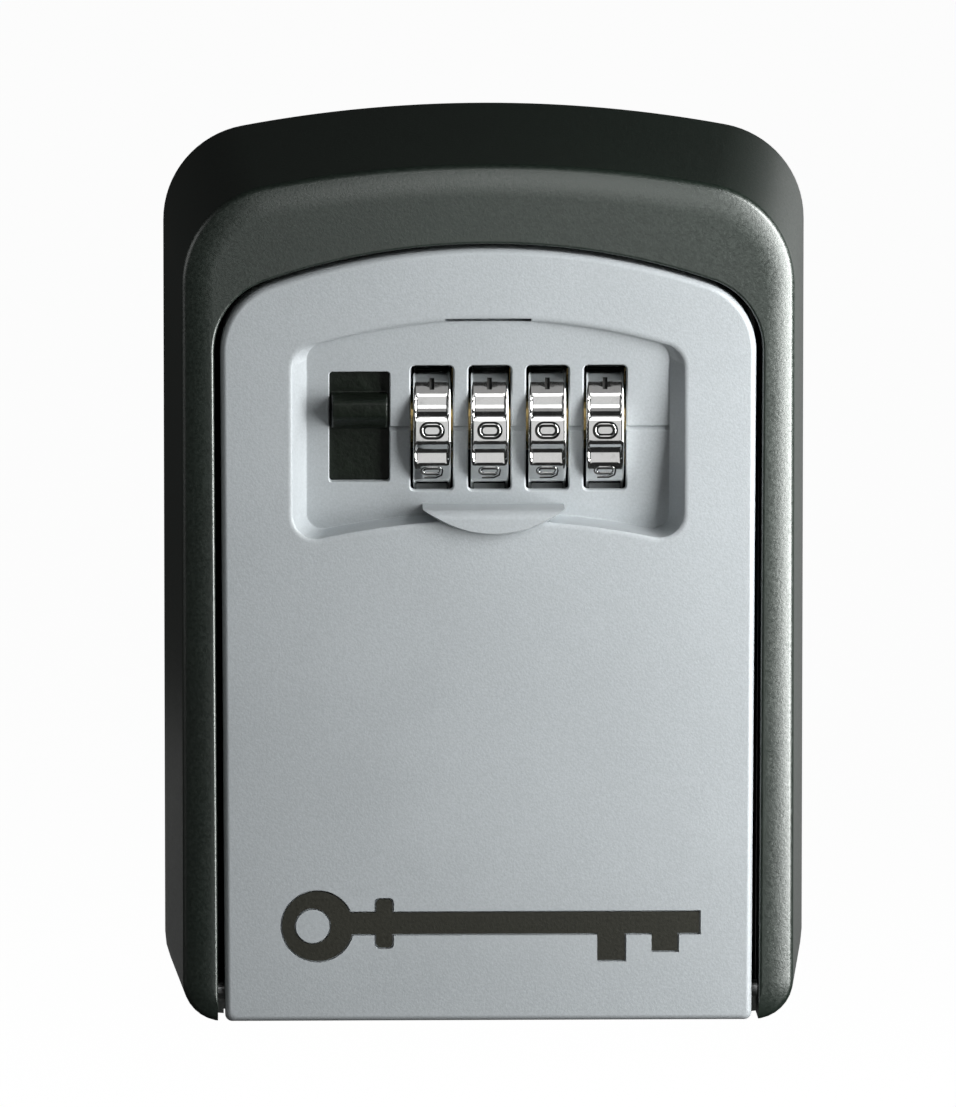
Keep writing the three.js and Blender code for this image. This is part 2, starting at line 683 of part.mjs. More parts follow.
// Sleeve that turns with its dial, with a code disc whose gates let the latch teeth drop in.
function codeSleeve(name, x) {
  const disc = x + DIAL_WIDTH / 2 + CODE_DISC_GAP;
  const hub = rodAlongX(SLEEVE_HUB_R, x - 3.2, disc + 0.1, DIAL_DEPTH, DIAL_Z, 28);
  const boss = rodAlongX(3, disc, x + 4.1, DIAL_DEPTH, DIAL_Z, 20);
  const plate = rodAlongX(CODE_DISC_R, disc, disc + CODE_DISC_THICKNESS, DIAL_DEPTH, DIAL_Z, 36);
  const gate = block(
    [disc - 1, disc + CODE_DISC_THICKNESS + 1],
    [DIAL_DEPTH - GATE_WIDTH / 2, DIAL_DEPTH + GATE_WIDTH / 2],
    [DIAL_Z + GATE_BOTTOM_R, DIAL_Z + CODE_DISC_R + 1],
  );
  const opposite = gate.translate([0, 0, -2 * DIAL_Z]).mirror([0, 0, 1]);
  const key = block(
    [disc - CODE_DISC_GAP - KEY_LENGTH, disc + 0.2],
    [DIAL_DEPTH + SLEEVE_HUB_R - 0.4, DIAL_DEPTH + KEY_TOP_R],
    [DIAL_Z - KEY_WIDTH / 2, DIAL_Z + KEY_WIDTH / 2],
  );
  const bore = rodAlongX(SLEEVE_BORE_R, x - 5, x + 6, DIAL_DEPTH, DIAL_Z);
  return named(name, cutAll(addAll(hub, [boss, plate, key]), [gate, opposite, bore]), BRASS);
}

function dialShaft() {
  return named("dial_shaft", rodAlongX(SHAFT_R, SHAFT_LEFT, SHAFT_RIGHT, DIAL_DEPTH, DIAL_Z), STEEL);
}

function ringAlongX(outer, inner, fromX, toX) {
  const hole = rodAlongX(inner, fromX - 1, toX + 1, DIAL_DEPTH, DIAL_Z);
  return rodAlongX(outer, fromX, toX, DIAL_DEPTH, DIAL_Z).subtract(hole);
}

// Open retaining clip on the end of the shaft.
function shaftClip() {
  const mouth = block([20, 30], [DIAL_DEPTH, DIAL_DEPTH + 4], [DIAL_Z - 1.1, DIAL_Z + 1.1]);
  return named("shaft_clip", ringAlongX(2.8, SHAFT_R + 0.06, 23.95, 24.55).subtract(mouth), STEEL);
}

class Helix extends THREE.Curve {
  constructor(radius, length, turns) {
    super();
    Object.assign(this, { radius, length, turns });
  }

  getPoint(t, target = new THREE.Vector3()) {
    const angle = 2 * Math.PI * this.turns * t;
    return target.set(this.radius * Math.cos(angle), this.radius * Math.sin(angle), this.length * t);
  }
}

function coil(radius, wire, length, turns) {
  const section = new THREE.Shape(arcPoints(0, 0, wire / 2, 0, 2 * Math.PI, 8).slice(1)
    .map(([x, y]) => new THREE.Vector2(x, y)));
  return new THREE.ExtrudeGeometry(section, {
    steps: turns * 12,
    extrudePath: new Helix(radius, length, turns),
    bevelEnabled: false,
  });
}

// Return spring that pushes the stack of sleeves back towards the reset lever.
function shaftSpring() {
  const geometry = coil(2.05, 0.4, 1.9, 3);
  geometry.rotateY(Math.PI / 2);
  geometry.translate(20.35, -DIAL_DEPTH, DIAL_Z);
  return named("shaft_spring", solid(geometry), STEEL);
}

// Leaf spring with a tongue and a rounded nib under each dial.
function detentSpring() {
  const base = block([-10.2, 18.2], [12.2, 16], [9.6, 10.1]);
  const tongues = DIAL_X.map((x) => {
    const leaf = block([x - 1.8, x + 1.8], [15.8, 24], [9.6, 10.1]);
    const nib = rodAlongX(1, x - 1.8, x + 1.8, DIAL_DEPTH, 10, 16);
    const under = block([x - 3, x + 3], [DIAL_DEPTH - 2, DIAL_DEPTH + 2], [8, 9.6]);
    return leaf.add(nib).subtract(under);
  });
  return named("detent_spring", addAll(base, tongues), STEEL);
}

// Lever behind the dials: pushed sideways, it slides the sleeves out of their dials so the code can be changed.
function resetLever() {
  const { left, right, halfHeight, padDepth, tipDepth, padLeft, bossEnd, bossR } = LEVER;
  const span = [DIAL_Z - halfHeight, DIAL_Z + halfHeight];
  const arm = block([left, right], [padDepth[0], tipDepth], span);
  const pad = block([padLeft, right], padDepth, span);
  const boss = rodAlongX(bossR, left + 0.2, bossEnd, DIAL_DEPTH, DIAL_Z);
  const hole = rodAlongX(SHAFT_R + 0.3, left - 1, bossEnd + 1, DIAL_DEPTH, DIAL_Z);
  return named("reset_lever", addAll(arm, [pad, boss]).subtract(hole), STEEL);
}

// ---- slider and latch ----

function releaseSlider() {
  const { halfWidth, bottom, top, thickness } = SLIDER_PLATE;
  const rear = -SLIDER_WEB - 0.15 - thickness;
  const front = -SLIDER_WEB - 0.15;
  const plate = block([SLIDER_X - halfWidth, SLIDER_X + halfWidth], [rear, front], [bottom, top]);
  const ridge = barAlongX([
    [front - 0.5, -0.4],
    [0.9, 0.1],
    [2.6, 1.9],
    [2.9, 2.3],
    [2.9, 3.9],
    [2.5, 4.3],
    [front - 0.5, 4.3],
  ], SLIDER_X - 3.55, SLIDER_X + 3.55);
  const tailDepth = DIAL_DEPTH - 1.5 - floorDepth(WINDOW_Z);
  const tail = block([SLIDER_X - 2.5, SLIDER_X + 0.5], [tailDepth, rear + 0.3], [-0.5, 2.3]);
  return named("release_slider", ontoFloor(addAll(plate, [ridge, tail])), BLACK_PLASTIC);
}

function latchOutline() {
  const nose = 1.2;
  return [
    [ARM.left, ARM.bottom],
    [ARM.right, ARM.bottom],
    [ARM.right, LATCH_BAR_BOTTOM],
    [20, LATCH_BAR_BOTTOM],
    [20, 29],
    [24, 29],
    [24, LATCH_BAR_TOP - 2.5],
    [21.5, LATCH_BAR_TOP],
    [BOLT_HALF_WIDTH, LATCH_BAR_TOP],
    [BOLT_HALF_WIDTH, BOLT_TOP - nose],
    [BOLT_HALF_WIDTH - nose, BOLT_TOP],
    [nose - BOLT_HALF_WIDTH, BOLT_TOP],
    [-BOLT_HALF_WIDTH, BOLT_TOP - nose],
    [-BOLT_HALF_WIDTH, LATCH_BAR_TOP],
    [ARM.left, LATCH_BAR_TOP],
  ];
}

// Flat latch: bolt nose at the top, teeth over the code discs and an arm down to the slider.
function latchPlate() {
  const faces = [DIAL_DEPTH - LATCH_THICKNESS / 2, DIAL_DEPTH + LATCH_THICKNESS / 2];
  const through = [faces[0] - 1, faces[1] + 1];
  const teeth = DIAL_X.map((x) => {
    const centre = x + DIAL_WIDTH / 2 + 1.275;
    return block([centre - TOOTH_WIDTH / 2, centre + TOOTH_WIDTH / 2], faces, [TOOTH_TIP, LATCH_BAR_BOTTOM + 0.5]);
  });
  const tailHole = block([SLIDER_X - 2.9, SLIDER_X + 0.9], through, [21.4, 25.5]);
  const guideSlots = GUIDES.map(({ x, z }) => prism(
    roundedRectangle(GUIDE_R + 0.25, (SLIDER_TRAVEL + 0.8) / 2 + GUIDE_R, 1.2, x, z + SLIDER_TRAVEL / 2),
    ...through,
  ));
  const plate = addAll(prism(latchOutline(), ...faces), teeth);
  return named("latch_plate", cutAll(plate, [tailHole, ...guideSlots]), STEEL);
}

// Push-on clip that keeps the latch on its guide post.
function latchClip(name, { x, z }) {
  const depth = [DIAL_DEPTH - LATCH_THICKNESS / 2 - 0.9, DIAL_DEPTH - LATCH_THICKNESS / 2 - 0.3];
  const disc = rodAlongY(2.5, ...depth, x, z);
  return named(name, disc.subtract(rodAlongY(GUIDE_R + 0.06, depth[0] - 1, depth[1] + 1, x, z)), STEEL);
}

function latchSpring() {
  const geometry = coil(2, 0.5, 9.2, 5);
  geometry.translate(SLIDER_X - 1.9, -DIAL_DEPTH, 2.35);
  return named("latch_spring", solid(geometry), STEEL);
}

// ---- assembly ----

const assembly = new THREE.Group();
assembly.name = "key_lock_box";

const housing = new THREE.Group();
housing.name = "housing";
housing.add(bodyShell(), hingePin());

const door = new THREE.Group();
door.name = "door";
door.add(doorPanel(), keyEmblem(), mechanismCover());
SCREW_Z.forEach((z, row) => [-SCREW_X, SCREW_X].forEach((x, column) => {
  door.add(coverScrew(`cover_screw_${2 * row + column + 1}`, x, z));
}));

const lock = new THREE.Group();
lock.name = "lock";
lock.add(dialShaft(), shaftClip(), shaftSpring(), detentSpring(), resetLever());
DIAL_X.forEach((x, i) => {
  lock.add(dial(`dial_${i + 1}`, x), codeSleeve(`code_sleeve_${i + 1}`, x));
});

const release = new THREE.Group();
release.name = "release";
release.add(releaseSlider(), latchPlate(), latchSpring());
GUIDES.forEach((guide, i) => release.add(latchClip(`latch_clip_${i + 1}`, guide)));

door.add(lock, release);
assembly.add(housing, door);

export default assembly;
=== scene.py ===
import math

import bmesh
import bpy
from mathutils import Matrix, Vector


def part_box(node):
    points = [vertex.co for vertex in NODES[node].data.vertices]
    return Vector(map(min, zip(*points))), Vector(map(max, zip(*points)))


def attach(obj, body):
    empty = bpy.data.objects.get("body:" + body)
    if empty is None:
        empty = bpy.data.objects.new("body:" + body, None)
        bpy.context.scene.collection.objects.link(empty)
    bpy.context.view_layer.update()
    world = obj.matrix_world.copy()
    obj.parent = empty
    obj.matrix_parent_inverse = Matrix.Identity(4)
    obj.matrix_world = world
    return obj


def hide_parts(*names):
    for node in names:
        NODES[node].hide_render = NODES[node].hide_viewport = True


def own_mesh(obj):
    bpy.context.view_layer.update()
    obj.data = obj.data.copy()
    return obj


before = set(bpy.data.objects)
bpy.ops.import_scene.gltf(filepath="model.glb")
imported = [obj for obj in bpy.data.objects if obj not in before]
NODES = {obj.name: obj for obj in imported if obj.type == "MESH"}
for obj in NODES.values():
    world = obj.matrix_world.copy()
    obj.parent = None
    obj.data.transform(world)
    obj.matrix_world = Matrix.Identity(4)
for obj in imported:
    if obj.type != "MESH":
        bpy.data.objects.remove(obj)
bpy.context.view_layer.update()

# Pieces are drawn in millimetres, as (x, depth in front of the wall, height), and turned into metres
# when they are dressed in their materials.
MM = 0.001
TURN = 2 * math.pi


# ---- measures taken from the CAD frame ----

def cad(node):
    """((x0, x1), (rear depth, front depth), (z0, z1)) of a CAD node, in millimetres."""
    low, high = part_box(node)
    return (
        (low[0] / MM, high[0] / MM),
        (-high[1] / MM, -low[1] / MM),
        (low[2] / MM, high[2] / MM),
    )


def middle(span):
    return (span[0] + span[1]) / 2


BODY_X, BODY_D, BODY_Z = cad("body_shell")
_, DOOR_D, DOOR_Z = cad("door_panel")
FRONT = BODY_D[1]
_, PIN_D, PIN_Z = cad("hinge_pin")
HINGE_D, HINGE_Z = middle(PIN_D), middle(PIN_Z)
PIN_R = (PIN_D[1] - PIN_D[0]) / 2
DIALS = [cad(f"dial_{i}") for i in range(1, 5)]
DIAL_X = [middle(box[0]) for box in DIALS]
DIAL_W = DIALS[0][0][1] - DIALS[0][0][0]
SHAFT = cad("dial_shaft")
AXIS_D, AXIS_Z = middle(SHAFT[1]), middle(SHAFT[2])
DIAL_R = 9.9
SLIDER_X = middle(cad("release_slider")[0])

# ---- shape of the housing, door and recess ----

BACK = dict(half=BODY_X[1], top=BODY_Z[1], arc=170, corner=12.5)
NOSE = dict(half=39.2, top=55.7, arc=152, corner=13)
NOSE_BOTTOM = -55.7
NOSE_BOTTOM_CORNER = 5
BACK_BOTTOM_CORNER = 9
BACK_EDGE = 0.25
BACK_WALL = 2.5
HOUSING_EDGE_R = 0.9
DOME_SLOPE = math.radians(20)
DOME_WIDTH = 3.4
OPENING = dict(half=35.2, top=45.6, arc=88, corner=9.6)
OPENING_BOTTOM = -54.8
OPENING_FLARE = 0.45
DOOR_GAP_REAR = 21.2
BELOW = -90
KEEPER = ((-7, 7), (20.4, 25), (42.6, 50.2))
UNDERSIDE = [(3, -60), (22.2, -60), (22.2, -56.1), (3, -58.7)]
UNDERSIDE_HALF = 34
MOUNT_HOLES = [(x, z) for x in (-20, 20) for z in (-34, 34)]
MOUNT_HOLE = [(-1, 2.75), (2.1, 2.75), (2.6, 3.25), (4, 3.25)]
DOOR = dict(half=34.4, top=DOOR_Z[1], arc=88, corner=9.2)
DOOR_BOTTOM = DOOR_Z[0]
DOOR_TAPER = 0.985
DOOR_RIM_D = 24.6
DOOR_EDGE = 0.8
SKIN_REAR = 29.8
RIM = 3.1
POCKET_BOTTOM = -49.2
POCKET_SHELF = 3.2
POSTS = [(x, z) for x in (-28.9, 28.9) for z in (3.2, 34.4)]
GUIDE_POSTS = [(0, 40.5), (22, 31.4)]
RECESS_OUT = dict(half=25.3, top=36.1, arc=80, corner=3.4, sill=9.5, sill_arc=101, foot=3.3)
RECESS_IN = dict(half=23.4, top=35.7, arc=80, corner=2.4, sill=10.1, sill_arc=101, foot=2.2)
FLOOR_TOP_Z = 35.9
FLOOR_TOP_D = FRONT - 0.8
FLOOR_SLOPE = 0.13
FLOOR_TILT = math.atan(FLOOR_SLOPE)
SLOT = (5.45, 16.7)
WINDOW = (7.7, 14.7)
WINDOW_Z = 21.5
GROOVE = [(-0.5, 0.3), (-0.5, 0.12), (0.03, -0.45), (2, -0.45), (2, 0.3)]
GROOVE_END = 23.3
SLIT_HALF = 5.5
SLIT_Z = (35.5, 35.95)
SLIT_DEPTH = 1.5


def floor_depth(z):
    return FLOOR_TOP_D - (FLOOR_TOP_Z - z) * FLOOR_SLOPE


# ---- mesh making ----

def finish_mesh(name, mesh):
    obj = bpy.data.objects.new(name, mesh)
    bpy.context.collection.objects.link(obj)
    return obj


def mesh_object(name, verts, faces):
    mesh = bpy.data.meshes.new(name)
    mesh.from_pydata([(x, -d, z) for x, d, z in verts], [], faces)
    bm = bmesh.new()
    bm.from_mesh(mesh)
    bmesh.ops.recalc_face_normals(bm, faces=bm.faces)
    bm.to_mesh(mesh)
    bm.free()
    return finish_mesh(name, mesh)


def loft(name, rings, closed=False):
    """Skin through outlines of equal length, either joined last to first or capped at both ends."""
    count = len(rings[0])
    verts = [point for ring in rings for point in ring]
    faces = []
    levels = len(rings) if closed else len(rings) - 1
    for level in range(levels):
        a = level * count
        b = ((level + 1) % len(rings)) * count
        for i in range(count):
            j = (i + 1) % count
            faces.append((a + i, a + j, b + j, b + i))
    if not closed:
        faces.append(tuple(reversed(range(count))))
        faces.append(tuple(range((len(rings) - 1) * count, len(rings) * count)))
    return mesh_object(name, verts, faces)


def boolean(target, cutters, operation="DIFFERENCE"):
    for cutter in cutters:
        modifier = target.modifiers.new("join", "BOOLEAN")
        modifier.operation = operation
        modifier.solver = "EXACT"
        modifier.object = cutter
        modifier.material_mode = "TRANSFER"
    graph = bpy.context.evaluated_depsgraph_get()
    mesh = bpy.data.meshes.new_from_object(target.evaluated_get(graph))
    target.modifiers.clear()
    old = target.data
    target.data = mesh
    bpy.data.meshes.remove(old)
    for cutter in cutters:
        mesh = cutter.data
        bpy.data.objects.remove(cutter)
        if mesh.users == 0:
            bpy.data.meshes.remove(mesh)
    return target


def arc(cx, cz, radius, start, end, steps):
    angles = [start + (end - start) * i / steps for i in range(steps + 1)]
    return [(cx + radius * math.cos(a), cz + radius * math.sin(a)) for a in angles]


def mirrored(points):
    return [(-x, z) for x, z in reversed(points)]


LEAST_CORNER = 0.4


def grown(spec, amount):
    """The outline moved outwards by an amount."""
    out = dict(spec)
    for key in ("half", "top", "arc"):
        out[key] = spec[key] + amount
    out["corner"] = max(spec["corner"] + amount, LEAST_CORNER)
    if "sill" in spec:
        out["sill"] = spec["sill"] - amount
        out["sill_arc"] = spec["sill_arc"] - amount
        out["foot"] = max(spec["foot"] + amount, LEAST_CORNER)
    return out


def corner_of(spec):
    """Centre of the upper right corner, and the angle at which it meets the arched top."""
    reach = spec["half"] - spec["corner"]
    rise = math.sqrt((spec["arc"] - spec["corner"]) ** 2 - reach ** 2)
    return reach, spec["top"] - spec["arc"] + rise, math.atan2(rise, reach)


def arched(spec, bottom, foot):
    """Outline with a straight foot, upright sides and an arched top."""
    x, z, meets = corner_of(spec)
    right = arc(spec["half"] - foot, bottom + foot, foot, -math.pi / 2, 0, 8)
    right += arc(x, z, spec["corner"], 0, meets, 16)
    crown = arc(0, spec["top"] - spec["arc"], spec["arc"], meets, math.pi - meets, 32)
    return right + crown[1:-1] + mirrored(right)


def recess_outline(spec):
    """Outline of the sunk panel: arched above, and arched up again at its sill."""
    x, z, meets = corner_of(spec)
    reach = spec["half"] - spec["foot"]
    span = spec["sill_arc"] + spec["foot"]
    rise = math.sqrt(span ** 2 - reach ** 2)
    lean = math.asin(reach / span)
    centre = spec["sill"] - spec["sill_arc"]
    right = arc(reach, centre + rise, spec["foot"], -math.pi / 2 - lean, 0, 12)
    right += arc(x, z, spec["corner"], 0, meets, 12)
    crown = arc(0, spec["top"] - spec["arc"], spec["arc"], meets, math.pi - meets, 24)
    sill = arc(0, centre, spec["sill_arc"], math.pi / 2 + lean, math.pi / 2 - lean, 24)
    return right + crown[1:-1] + mirrored(right) + sill[1:-1]


def rounded_rect(half_x, half_z, radius, cx=0, cz=0, steps=5):
    points = []
    for sx, sz, start in ((1, -1, -0.25), (1, 1, 0), (-1, 1, 0.25), (-1, -1, 0.5)):
        x = cx + sx * (half_x - radius)
        z = cz + sz * (half_z - radius)
        points += arc(x, z, radius, start * TURN, (start + 0.25) * TURN, steps)
    return points


def tapered(points, top):
    span = top - DOOR_BOTTOM
    return [(x * (1 + (DOOR_TAPER - 1) * min(max((top - z) / span, 0), 1)), z) for x, z in points]


def at(points, depth):
    return [(x, depth, z) for x, z in points]


def prism(name, points, rear, front):
    return loft(name, [at(points, rear), at(points, front)])


def block(name, xs, ds, zs):
    points = [(xs[0], zs[0]), (xs[1], zs[0]), (xs[1], zs[1]), (xs[0], zs[1])]
    return prism(name, points, *ds)


def revolve_x(name, profile, depth, z, sides=64):
    """Solid turned about an axis along X from (x, radius) pairs."""
    angles = [TURN * i / sides for i in range(sides)]
    return loft(name, [
        [(x, depth + r * math.cos(a), z + r * math.sin(a)) for a in angles] for x, r in profile
    ])


def revolve_y(name, profile, x, z, sides=48):
    """Solid turned about an axis along the depth from (depth, radius) pairs."""
    angles = [TURN * i / sides for i in range(sides)]
    return loft(name, [
        [(x + r * math.cos(a), d, z + r * math.sin(a)) for a in angles] for d, r in profile
    ])


def bar_x(name, section, x0, x1):
    """Bar along X with a section given as (depth, height) pairs."""
    verts = [(x, d, z) for x in (x0, x1) for d, z in section]
    count = len(section)
    faces = [(i, (i + 1) % count, count + (i + 1) % count, count + i) for i in range(count)]
    faces += [tuple(reversed(range(count))), tuple(range(count, 2 * count))]
    return mesh_object(name, verts, faces)


def onto_floor(obj, z):
    """Lays a piece drawn level onto the leaning recess floor."""
    obj.data.transform(
        Matrix.Translation((0, -floor_depth(z), z)) @ Matrix.Rotation(FLOOR_TILT, 4, "X")
    )
    return obj


def quarter(steps):
    """Angles from 0 to a right angle."""
    return [i * math.pi / 2 / steps for i in range(steps + 1)]


# ---- materials ----

def principled(name, base, roughness, metallic=0.0, **inputs):
    material = bpy.data.materials.new(name)
    material.use_nodes = True
    shader = material.node_tree.nodes["Principled BSDF"]
    shader.inputs["Base Color"].default_value = (*base, 1)
    shader.inputs["Roughness"].default_value = roughness
    shader.inputs["Metallic"].default_value = metallic
    for socket, value in inputs.items():
        shader.inputs[socket.replace("_", " ")].default_value = value
    return material, shader


def add(material, kind, **settings):
    node = material.node_tree.nodes.new(kind)
    for key, value in settings.items():
        if hasattr(node, key):
            setattr(node, key, value)
        else:
            node.inputs[key.replace("_", " ")].default_value = value
    return node


def link(material, source, target):
    material.node_tree.links.new(source, target)


def coordinates(material):
    return add(material, "ShaderNodeTexCoord").outputs["Object"]


def noise_texture(material, where, scale, detail=2.0, roughness=0.5):
    node = add(material, "ShaderNodeTexNoise", Scale=scale, Detail=detail, Roughness=roughness)
    link(material, where, node.inputs["Vector"])
    return node.outputs["Fac"]


def ramp(material, source, stops):
    node = add(material, "ShaderNodeValToRGB")
    elements = node.color_ramp.elements
    while len(elements) < len(stops):
        elements.new(0.5)
    for element, (place, colour) in zip(elements, stops):
        element.position = place
        element.color = (*colour, 1) if isinstance(colour, tuple) else (colour, colour, colour, 1)
    link(material, source, node.inputs["Fac"])
    return node.outputs["Color"]


def bump(material, shader, height, strength, distance):
    node = add(material, "ShaderNodeBump", Strength=strength, Distance=distance)
    link(material, height, node.inputs["Height"])
    link(material, node.outputs["Normal"], shader.inputs["Normal"])
    return node


def painted(name, base, spread, roughness, metallic, grain, relief, **inputs):
    """Sprayed paint: fine orange peel, slight tone changes and a roughness that wanders."""
    material, shader = principled(name, base, roughness, metallic, **inputs)
    where = coordinates(material)
    broad = noise_texture(material, where, 45, 3)
    speck = noise_texture(material, where, grain, 2, 0.65)
    low = tuple(c * (1 - spread) for c in base)
    high = tuple(c * (1 + spread) for c in base)
    mix = add(material, "ShaderNodeMix", data_type="FLOAT")
    mix.inputs[0].default_value = 0.65
    link(material, broad, mix.inputs[2])
    link(material, speck, mix.inputs[3])
    tone = ramp(material, mix.outputs[0], [(0.36, low), (0.64, high)])
    link(material, tone, shader.inputs["Base Color"])
    rough = ramp(material, speck, [(0.3, roughness - 0.06), (0.7, roughness + 0.06)])
    link(material, rough, shader.inputs["Roughness"])
    bump(material, shader, speck, relief, 0.00008)
    return material


def metal(name, base, roughness, scratch_scale, relief, stretch=(1, 1, 1)):
    """Bare or plated metal with fine handling marks."""
    material, shader = principled(name, base, roughness, 1.0)
    mapping = add(material, "ShaderNodeMapping")
    mapping.inputs["Scale"].default_value = stretch
    link(material, coordinates(material), mapping.inputs["Vector"])
    marks = noise_texture(material, mapping.outputs["Vector"], scratch_scale, 4, 0.6)
    link(
        material,
        ramp(material, marks, [(0.35, max(roughness - 0.05, 0.02)), (0.7, roughness + 0.1)]),
        shader.inputs["Roughness"],
    )
    low = tuple(c * 0.88 for c in base)
    link(material, ramp(material, marks, [(0.3, low), (0.65, base)]), shader.inputs["Base Color"])
    bump(material, shader, marks, relief, 0.00004)
    return material


HOUSING = painted(
    "housing_paint", (0.003, 0.009, 0.005), 0.3, 0.38, 0.0, 2600, 0.28,
    IOR=1.7, Specular_IOR_Level=1.0, Specular_Tint=(0.965, 1.0, 0.975, 1),
)
PANEL = painted(
    "door_paint", (0.40, 0.43, 0.445), 0.07, 0.46, 0.12, 3200, 0.28, Specular_IOR_Level=0.4
)
INLAY = painted("emblem_paint", (0.018, 0.018, 0.012), 0.25, 0.5, 0.0, 2400, 0.5)
PLASTIC = painted(
    "slider_plastic", (0.002, 0.005, 0.002), 0.35, 0.46, 0.0, 1300, 1.0, Specular_IOR_Level=0.4
)
COVER = painted("cover_plastic", (0.016, 0.017, 0.019), 0.2, 0.5, 0.0, 1500, 0.6)
CHROME = metal("chrome_plate", (0.82, 0.82, 0.81), 0.09, 700, 0.08)
DIGIT_INK = painted("digit_ink", (0.012, 0.012, 0.011), 0.2, 0.45, 0.0, 3000, 0.3)
STEEL = metal("zinc_steel", (0.60, 0.61, 0.62), 0.44, 420, 0.07, (1, 1, 6))
WIRE = metal("spring_wire", (0.42, 0.42, 0.43), 0.28, 900, 0.2)
BRASS = metal("turned_brass", (0.62, 0.46, 0.2), 0.26, 500, 0.3, (8, 1, 1))


def dress(obj, *materials, angle=32, weighted=True):
    """Scales a piece to metres, gives it its materials and smooths it."""
    obj.data.transform(Matrix.Scale(MM, 4))
    obj.data.materials.clear()
    for material in materials:
        obj.data.materials.append(material)
    obj.data.shade_smooth()
    obj.data.set_sharp_from_angle(angle=math.radians(angle))
    if weighted:
        modifier = obj.modifiers.new("even normals", "WEIGHTED_NORMAL")
        modifier.keep_sharp = True
        modifier.weight = 90
    return obj


# ---- housing ----

def lerp(a, b, t):
    return a + (b - a) * t


def housing_ring(depth, edge):
    t = depth / FRONT
    spec = {key: lerp(BACK[key], NOSE[key], t) for key in BACK}
    bottom = lerp(BODY_Z[0], NOSE_BOTTOM, t) + edge
    foot = lerp(BACK_BOTTOM_CORNER, NOSE_BOTTOM_CORNER, t) - edge
    return at(arched(grown(spec, -edge), bottom, foot), depth)


def mouth(name, rear, foot, bottom_at):
    """Cutter out through the front with a rounded brink; bottom_at gives its lower end for a flare."""
    def ring(flare, depth):
        return at(tapered(arched(grown(OPENING, flare), bottom_at(flare), foot), OPENING["top"]), depth)

    rings = [ring(0, rear)]
    for a in quarter(4):
        rings.append(ring(OPENING_FLARE * (1 - math.cos(a)), FRONT - OPENING_FLARE * (1 - math.sin(a))))
    rings.append(ring(OPENING_FLARE, FRONT + 2))
    return loft(name, rings)


def front_edge():
    """(depth, inset) pairs from the side of the housing around its edge and over the domed rim."""
    last = math.pi / 2 - DOME_SLOPE
    rise = math.tan(DOME_SLOPE) * DOME_WIDTH / 2
    start = FRONT - rise - HOUSING_EDGE_R * math.sin(last)
    steps = 7
    edge = [last * i / steps for i in range(steps + 1)]
    pairs = [(start + HOUSING_EDGE_R * math.sin(a), HOUSING_EDGE_R * (1 - math.cos(a))) for a in edge]
    inset = pairs[-1][1]
    for i in range(1, steps + 1):
        share = i / steps
        pairs.append((FRONT - rise * (1 - share) ** 2, inset + DOME_WIDTH * share))
    return pairs


def make_housing():
    rings = [housing_ring(0, BACK_EDGE), housing_ring(BACK_EDGE, 0)]
    rings += [housing_ring(depth, inset) for depth, inset in front_edge()]
    shell = loft("housing_shell", rings)
    bore = PIN_R + 0.05
    cutters = [
        mouth("opening", BACK_WALL, 2, lambda flare: OPENING_BOTTOM - flare),
        mouth("below", DOOR_GAP_REAR, 1, lambda flare: BELOW),
        bar_x("underside", UNDERSIDE, -UNDERSIDE_HALF, UNDERSIDE_HALF),
        block("keeper", *KEEPER),
        revolve_x("pin_bore", [(-37.2, bore), (60, bore)], HINGE_D, HINGE_Z, 32),
    ]
    cutters += [revolve_y("screw_hole", MOUNT_HOLE, x, z, 32) for x, z in MOUNT_HOLES]
    boolean(shell, cutters)
    dress(shell, HOUSING)
    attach(shell, "housing")
    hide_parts("body_shell")


# ---- door ----

def door_ring(depth, edge):
    outline = arched(grown(DOOR, -edge), DOOR_BOTTOM + edge, 0.9)
    return at(tapered(outline, DOOR["top"]), depth)


def recess_cut():
    """The sunk panel: leaning floor, small fillet at its foot, sloped wall and a rounded brink."""
    rings = []
    floor = recess_outline(grown(RECESS_IN, -0.35))
    rings.append([(x, floor_depth(z), z) for x, z in floor])
    for lift, spread in ((0.05, -0.12), (0.22, 0.02)):
        ring = recess_outline(grown(RECESS_IN, spread))
        rings.append([(x, min(floor_depth(z) + lift, FRONT - 0.3), z) for x, z in ring])
    outer = recess_outline(RECESS_OUT)
    inner = recess_outline(RECESS_IN)
    for share in (0.35, 0.7):
        rings.append([
            (lerp(xi, xo, share), lerp(floor_depth(zi) + 0.2, FRONT - 0.25, share), lerp(zi, zo, share))
            for (xi, zi), (xo, zo) in zip(inner, outer)
        ])
    for a in quarter(4)[1:]:
        spread = -0.3 + 0.75 * (1 - math.cos(a))
        rings.append(at(recess_outline(grown(RECESS_OUT, spread)), FRONT - 0.35 * (1 - math.sin(a))))
    rings.append(at(recess_outline(grown(RECESS_OUT, 0.45)), FRONT + 2))
    return loft("recess", rings)


SLOT_BRINK = [(0, -12), (0, -0.22), (0.08, -0.08), (0.24, 0.02), (0.3, 3)]
WINDOW_BRINK = [(0, -4), (0, -0.18), (0.06, -0.06), (0.18, 0.02), (0.2, 3)]


def hole_cut(name, size, corner, x, z, brink):
    """Hole in the leaning floor with a small chamfer, from (growth, depth) pairs."""
    half_x, half_z = size[0] / 2, size[1] / 2
    rings = [at(rounded_rect(half_x + grow, half_z + grow, corner + grow, x), depth) for grow, depth in brink]
    return onto_floor(loft(name, rings), z)


LIP_TOP = 11.2
LIP_BOTTOM = 7.9
LIP_HALF = 9.1
LIP_X = 0.7
LIP_ROUNDING = 1.7


